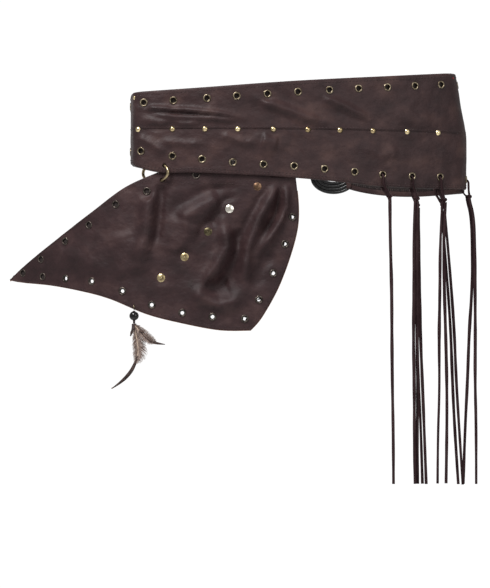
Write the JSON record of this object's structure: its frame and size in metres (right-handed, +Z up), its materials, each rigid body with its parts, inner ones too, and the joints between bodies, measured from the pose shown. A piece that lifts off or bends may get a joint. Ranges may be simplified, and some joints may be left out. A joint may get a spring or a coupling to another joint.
{
  "type": "costume hip belt",
  "caption": "Wide soft leather hip belt for a pirate costume, laced at the back, with a pointed hip flap on an oval ring, eyelet rows, hanging laces and a feather pendant.",
  "frame": {"origin": "centre of the waist opening, level with the row of studs", "axes": "+Z up along the waist opening, -Y to the front, +X to the wearer's left, where the laces hang"},
  "size_m": [0.4883, 0.2115, 0.4335],
  "materials": {
    "belt_leather": "soft satin, mottled brown and grey",
    "flap_leather": "soft satin with folds",
    "lining": "matt woven lining",
    "interlining": "matt felt",
    "boning": "smooth",
    "antique_brass": "aged, satin",
    "bright_brass": "polished, slightly worn",
    "ring_metal": "aged, polished wire",
    "bead": "high gloss",
    "thread": "waxed thread",
    "feather": "downy, matt, with glossy dark tips",
    "lace_suede": "matt suede",
    "black_cord": "waxed, glossy"
  },
  "bodies": {
    "belt": {"back_lace_hank": "black_cord", "back_lacing": "black_cord", "back_left_interlining": "interlining", "back_left_lining": "lining", "back_left_shell": "belt_leather", "back_right_interlining": "interlining", "back_right_lining": "lining", "back_right_shell": "belt_leather", "closure_bone_left": "boning", "closure_bone_right": "boning", "closure_eyelets": "antique_brass", "closure_washers": "antique_brass", "corner_rivet": "bright_brass", "front_interlining": "interlining", "front_lining": "lining", "front_lower_shell": "belt_leather", "front_upper_shell": "belt_leather", "hanger_strap": "flap_leather", "lace_1_tail": "lace_suede", "lace_2_left_tail": "lace_suede", "lace_2_right_tail": "lace_suede", "lace_3_left_tail": "lace_suede", "lace_3_right_tail": "lace_suede", "lace_4_left_tail": "lace_suede", "lace_4_right_tail": "lace_suede", "lace_5_left_tail": "lace_suede", "lace_5_right_tail": "lace_suede", "lace_6_left_tail": "lace_suede", "lace_6_right_tail": "lace_suede", "lace_tie_1": "lace_suede", "lace_tie_2": "lace_suede", "lace_tie_3": "lace_suede", "lace_tie_4": "lace_suede", "lace_tie_5": "lace_suede", "lace_tie_6": "lace_suede", "low_row_eyelets": "antique_brass", "low_row_washers": "antique_brass", "stud_backs": "bright_brass", "stud_caps": "bright_brass", "top_row_eyelets": "antique_brass", "top_row_washers": "antique_brass"},
    "hip_ring": {"hip_ring": "ring_metal"},
    "flap": {"flap_eyelets": "antique_brass", "flap_lining": "lining", "flap_rivet_backs": "bright_brass", "flap_rivet_caps": "bright_brass", "flap_skin": "flap_leather", "flap_washers": "antique_brass"},
    "pendant_loop": {"pendant_loop": "thread"},
    "pendant": {"pendant_bead": "bead", "pendant_cord": "thread", "feather_binding": "thread", "feather_long": "feather", "feather_side": "feather", "feather_small": "feather"}
  },
  "joints": [
    {"name": "ring_swing", "type": "hinge", "parent": "belt", "child": "hip_ring", "pos_m": [-0.13631, -0.10186, -0.042], "axis": [0, 0, 1], "range_deg": [-20, 0]},
    {"name": "flap_swing", "type": "hinge", "parent": "belt", "child": "flap", "pos_m": [-0.1364, -0.09793, -0.0495], "axis": [-0.9995, -0.0303, 0], "range_deg": [0, 30]},
    {"name": "pendant_swing", "type": "hinge", "parent": "flap", "child": "pendant_loop", "pos_m": [-0.168, -0.0931, -0.17833], "axis": [-1, 0, 0], "range_deg": [-45, 75]},
    {"name": "pendant_sway", "type": "hinge", "parent": "pendant_loop", "child": "pendant", "pos_m": [-0.168, -0.0931, -0.18173], "axis": [0, 1, 0], "range_deg": [-8, 30]}
  ]
}
